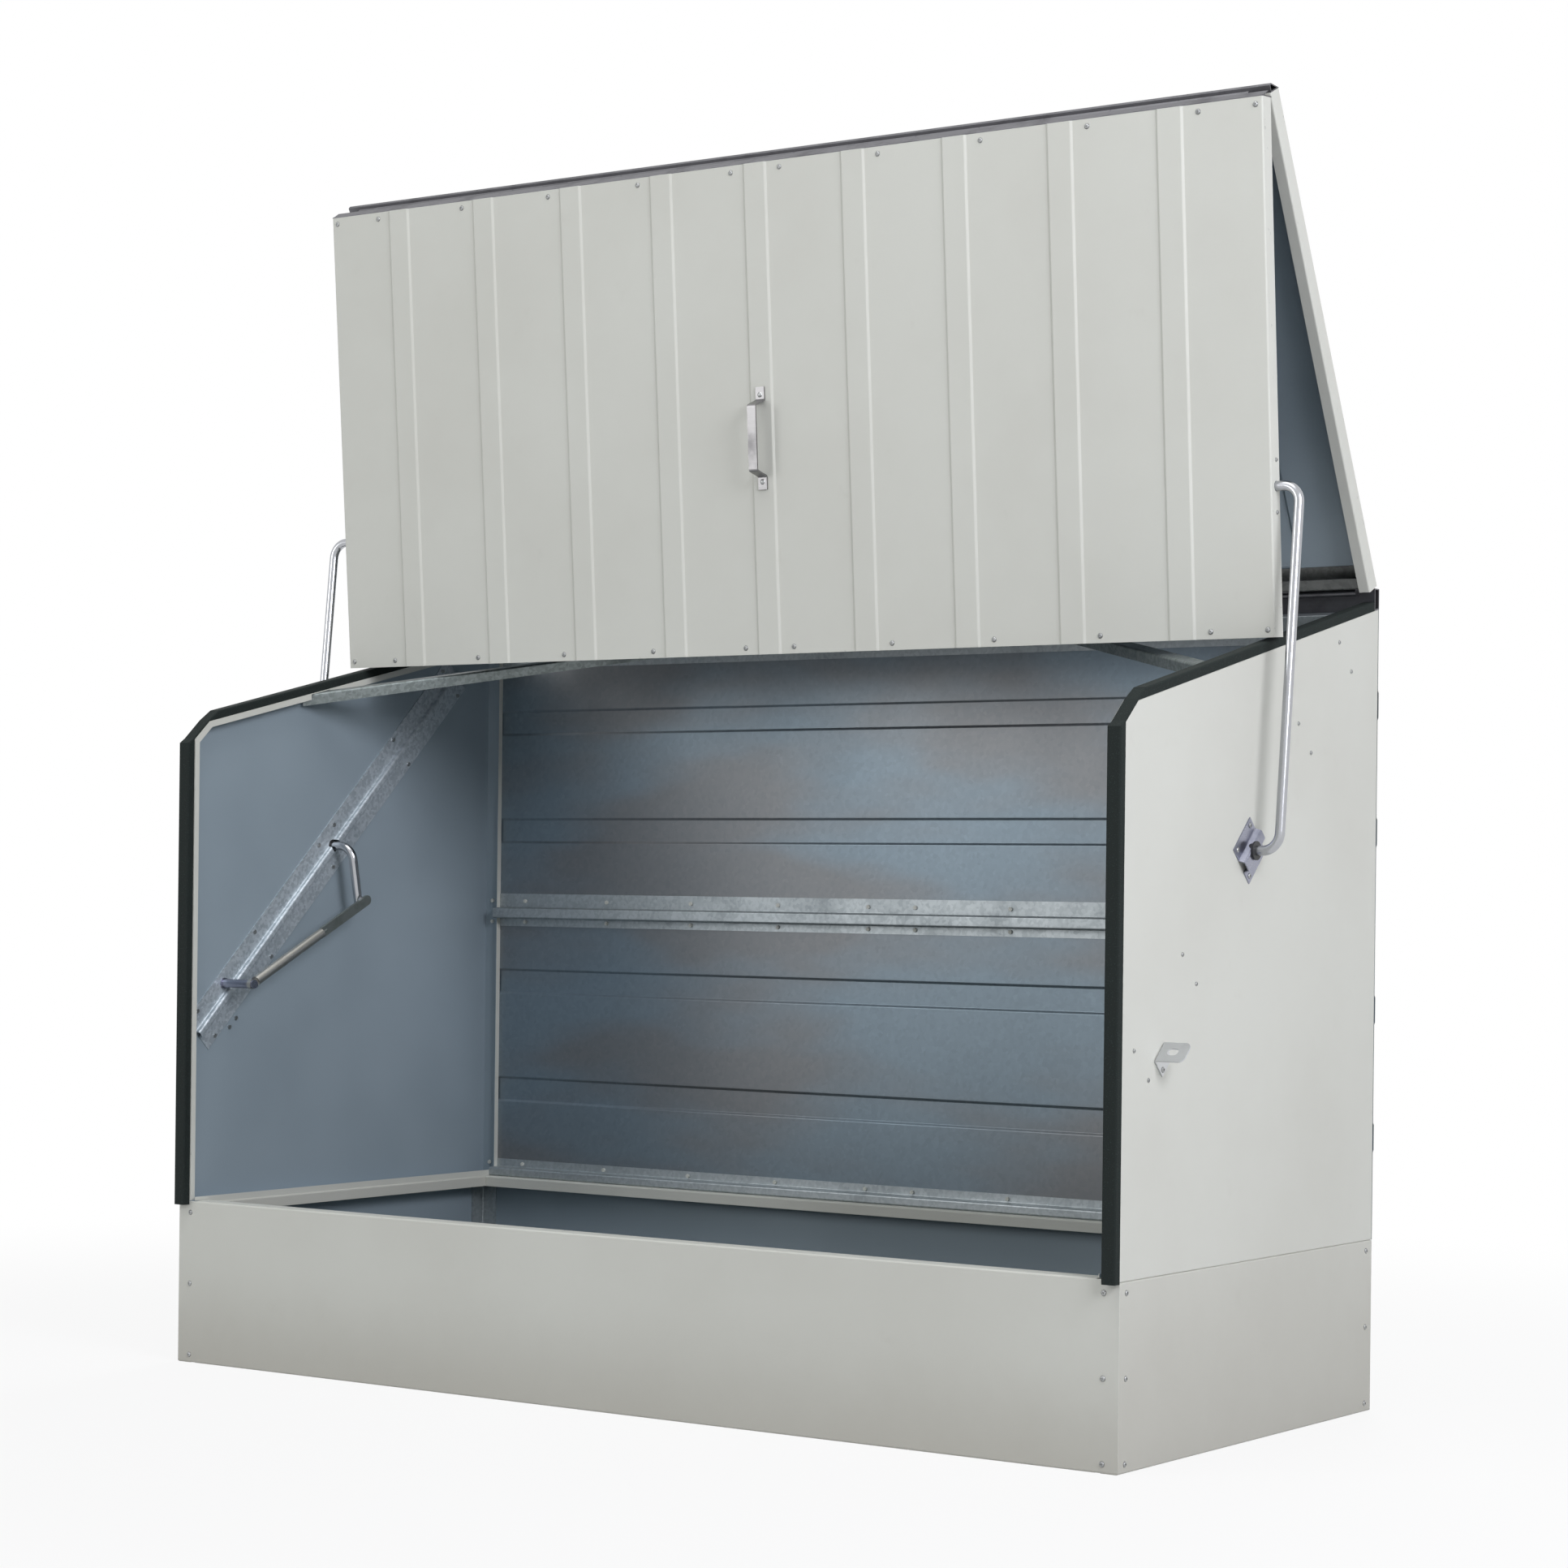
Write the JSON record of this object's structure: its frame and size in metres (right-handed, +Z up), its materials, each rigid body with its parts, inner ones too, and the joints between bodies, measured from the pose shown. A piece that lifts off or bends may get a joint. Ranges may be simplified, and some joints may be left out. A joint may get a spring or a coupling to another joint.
{
  "type": "bicycle locker",
  "caption": "Sheet steel bicycle locker on a plinth, with a ribbed roof and front door that fold up together on two swinging side arms.",
  "frame": {"origin": "on the ground, under the middle of the cabinet", "axes": "+X to the right seen from the front, +Y to the back, +Z up; the locker is open at rest"},
  "size_m": [2.058, 0.8592, 2.1386],
  "materials": {
    "painted_panel": "cream powder coat outside, galvanised inside",
    "galvanised": "galvanised sheet",
    "seal_rubber": "black rubber",
    "bright_bar": "bright zinc plated bar",
    "plated_sheet": "zinc plated sheet",
    "painted_fastener": "cream painted dome heads",
    "plated_fastener": "zinc plated screws",
    "hinge_profile": "grey hinge profile",
    "bush_plastic": "black plastic bush",
    "strut_tube": "bright strut tube",
    "strut_dark": "dark strut rod and clevis",
    "floor_sheet": "galvanised floor trays"
  },
  "bodies": {
    "cabinet": {"plinth_front": "painted_panel", "plinth_rear": "painted_panel", "plinth_side_right": "painted_panel", "plinth_side_left": "painted_panel", "side_panel_right": "painted_panel", "side_panel_left": "painted_panel", "back_sheet_lower": "painted_panel", "back_sheet_upper": "painted_panel", "plinth_posts": "galvanised", "back_rail_bottom": "galvanised", "back_rail_middle": "galvanised", "back_rail_top": "galvanised", "brace_right": "galvanised", "brace_left": "galvanised", "corner_brace_right": "galvanised", "corner_brace_left": "galvanised", "floor_trays": "floor_sheet", "floor_joist": "floor_sheet", "seal_right": "seal_rubber", "seal_left": "seal_rubber", "pivot_plate_right": "plated_sheet", "pivot_plate_left": "plated_sheet", "padlock_tab_right": "plated_sheet", "padlock_tab_left": "plated_sheet", "strut_anchor_right": "plated_sheet", "strut_anchor_left": "plated_sheet", "plinth_screws": "painted_fastener", "back_screws": "painted_fastener", "brace_rivets": "painted_fastener", "plate_screws": "plated_fastener", "tab_screws": "plated_fastener", "rear_cap": "hinge_profile", "roof_hinge_fixed": "hinge_profile", "roof_hinge_pin": "hinge_profile", "pivot_bush_right": "bush_plastic", "pivot_bush_left": "bush_plastic"},
    "roof": {"roof_panel": "painted_panel", "roof_rail_front": "galvanised", "roof_rail_rear": "galvanised", "roof_screws": "painted_fastener", "roof_hinge_leaf": "hinge_profile", "roof_nose": "hinge_profile"},
    "door": {"door_panel": "painted_panel", "door_rail_top": "galvanised", "door_rail_bottom": "galvanised", "door_screws": "painted_fastener", "door_hinge": "hinge_profile", "handle": "bright_bar", "handle_screws": "plated_fastener", "arm_sockets": "plated_sheet", "socket_rivets": "painted_fastener"},
    "arm_right": {"arm_right": "bright_bar", "arm_clip_right": "plated_fastener"},
    "arm_left": {"arm_left": "bright_bar", "arm_clip_left": "plated_fastener"},
    "strut_body_right": {"strut_body_right": "strut_tube"},
    "strut_body_left": {"strut_body_left": "strut_tube"},
    "strut_rod_right": {"strut_rod_right": "strut_dark"},
    "strut_rod_left": {"strut_rod_left": "strut_dark"}
  },
  "joints": [
    {"name": "roof_hinge", "type": "hinge", "parent": "cabinet", "child": "roof", "pos_m": [0, 0.39485, 1.36545], "axis": [1, 0, 0], "range_deg": [0, 77.25], "stiffness_Nm_per_rad": 40, "springref_deg": -57.3},
    {"name": "arm_right_pivot", "type": "hinge", "parent": "cabinet", "child": "arm_right", "pos_m": [0, -0.03095, 0.929], "axis": [1, 0, 0], "range_deg": [0, 139.63]},
    {"name": "arm_left_pivot", "type": "hinge", "parent": "cabinet", "child": "arm_left", "pos_m": [0, -0.03095, 0.929], "axis": [1, 0, 0], "range_deg": [0, 139.63]},
    {"name": "door_pivot", "type": "hinge", "parent": "arm_right", "child": "door", "pos_m": [0, 0.0263, 1.50531], "axis": [1, 0, 0], "range_deg": [-143.91, 0]},
    {"name": "strut_right_swing", "type": "hinge", "parent": "cabinet", "child": "strut_body_right", "pos_m": [0, -0.31767, 0.67552], "axis": [1, 0, 0], "range_deg": [0, 18.99]},
    {"name": "strut_right_slide", "type": "slide", "parent": "strut_body_right", "child": "strut_rod_right", "axis": [0, 0.8952, 0.4457], "range_m": [0, 0.13963]},
    {"name": "strut_left_swing", "type": "hinge", "parent": "cabinet", "child": "strut_body_left", "pos_m": [0, -0.31767, 0.67552], "axis": [1, 0, 0], "range_deg": [0, 18.99]},
    {"name": "strut_left_slide", "type": "slide", "parent": "strut_body_left", "child": "strut_rod_left", "axis": [0, 0.8952, 0.4457], "range_m": [0, 0.13963]}
  ],
  "couplings": [
    {"joint": "arm_right_pivot", "follows": "roof_hinge", "ratio": 1.8075},
    {"joint": "arm_left_pivot", "follows": "roof_hinge", "ratio": 1.8075},
    {"joint": "door_pivot", "follows": "roof_hinge", "ratio": -1.8629},
    {"joint": "strut_right_swing", "follows": "roof_hinge", "ratio": 0.24575},
    {"joint": "strut_right_slide", "follows": "roof_hinge", "m_per_rad": 0.10355},
    {"joint": "strut_left_swing", "follows": "roof_hinge", "ratio": 0.24575},
    {"joint": "strut_left_slide", "follows": "roof_hinge", "m_per_rad": 0.10355}
  ]
}
